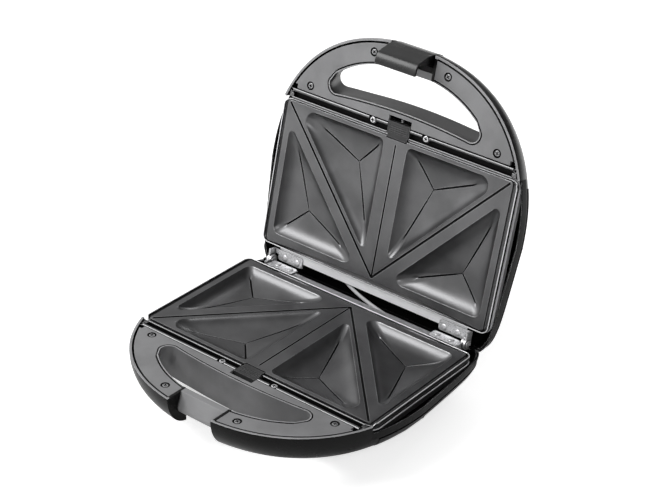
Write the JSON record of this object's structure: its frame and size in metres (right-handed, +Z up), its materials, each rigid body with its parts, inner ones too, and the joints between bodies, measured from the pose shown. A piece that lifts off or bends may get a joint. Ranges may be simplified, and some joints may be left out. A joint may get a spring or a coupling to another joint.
{
  "type": "sandwich toaster",
  "caption": "Countertop sandwich toaster with hinged clam shells, cooking plates with triangular pockets, loop handles and a hanging latch, standing open.",
  "frame": {"origin": "on the table, under the middle of the opened toaster's bounding box", "axes": "+X to the right of the person who uses it, -Y towards that person, +Z up"},
  "size_m": [0.233, 0.2707, 0.2417],
  "materials": {
    "shell_black": "moulded, semi-gloss, black",
    "cover_grey": "moulded, satin, dark grey",
    "latch_black": "moulded, semi-gloss, black",
    "dark_screw": "blackened steel",
    "bright_steel": "bright zinc-plated steel",
    "spring_steel": "drawn spring wire",
    "catch_grey": "moulded, satin, grey",
    "nonstick_plate": "cast aluminium with a satin grey non-stick coating",
    "pan_aluminium": "pressed bright sheet",
    "element_sheath": "heat-tinted steel sheath",
    "foot_rubber": "matt black rubber",
    "gland_black": "moulded black nylon",
    "terminal_white": "moulded off-white nylon",
    "ceramic_white": null,
    "lens_red": "translucent red moulding",
    "lamp_glass": "small neon lamps",
    "sleeve_grey": "woven glass-fibre sleeving"
  },
  "bodies": {
    "base": {"base_housing": "shell_black", "base_handle_cover": "cover_grey", "base_cover_screws": "dark_screw", "base_front_rail": "bright_steel", "base_rail_screws": "bright_steel", "base_catch_spring": "spring_steel", "base_cooking_plate": "nonstick_plate", "base_reflector_pan": "pan_aluminium", "base_heating_element": "element_sheath", "base_element_clips": "bright_steel", "base_pan_screws": "bright_steel", "rubber_feet": "foot_rubber", "foot_screws": "bright_steel", "cord_gland": "gland_black", "terminal_block": "terminal_white", "thermostat": "ceramic_white", "thermal_fuse": "ceramic_white", "hinge_leaf_base_left": "bright_steel", "hinge_leaf_base_right": "bright_steel", "hinge_rivets_base": "bright_steel", "hinge_pins": "bright_steel", "wiring_sleeve": "sleeve_grey"},
    "lid": {"lid_housing": "shell_black", "lid_handle_cover": "cover_grey", "lid_cover_screws": "dark_screw", "lid_front_rail": "bright_steel", "lid_rail_screws": "bright_steel", "lid_catch_spring": "spring_steel", "lid_cooking_plate": "nonstick_plate", "lid_reflector_pan": "pan_aluminium", "lid_heating_element": "element_sheath", "lid_element_clips": "bright_steel", "lid_pan_screws": "bright_steel", "hinge_leaf_lid_left": "bright_steel", "hinge_leaf_lid_right": "bright_steel", "hinge_rivets_lid": "bright_steel", "indicator_lenses": "lens_red", "neon_lamps": "lamp_glass", "latch_pin": "bright_steel"},
    "latch": {"latch": "latch_black"},
    "base_catch": {"base_plate_catch": "catch_grey"},
    "lid_catch": {"lid_plate_catch": "catch_grey"}
  },
  "joints": [
    {"name": "lid_hinge", "type": "hinge", "parent": "base", "child": "lid", "pos_m": [0, 0.06784, 0.0438], "axis": [1, 0, 0], "range_deg": [0, 102.2], "deforming": ["wiring_sleeve"]},
    {"name": "latch_hinge", "type": "hinge", "parent": "lid", "child": "latch", "pos_m": [0, 0.11923, 0.23322], "axis": [1, 0, 0], "range_deg": [-25, 7]},
    {"name": "base_catch_slide", "type": "slide", "parent": "base", "child": "base_catch", "axis": [0, -1, 0], "range_m": [0, 0.003], "stiffness_N_per_m": 40, "springref_m": -0.02, "deforming": ["base_catch_spring"]},
    {"name": "lid_catch_slide", "type": "slide", "parent": "lid", "child": "lid_catch", "axis": [0, 0.2113, 0.9774], "range_m": [0, 0.003], "stiffness_N_per_m": 40, "springref_m": -0.02, "deforming": ["lid_catch_spring"]}
  ]
}
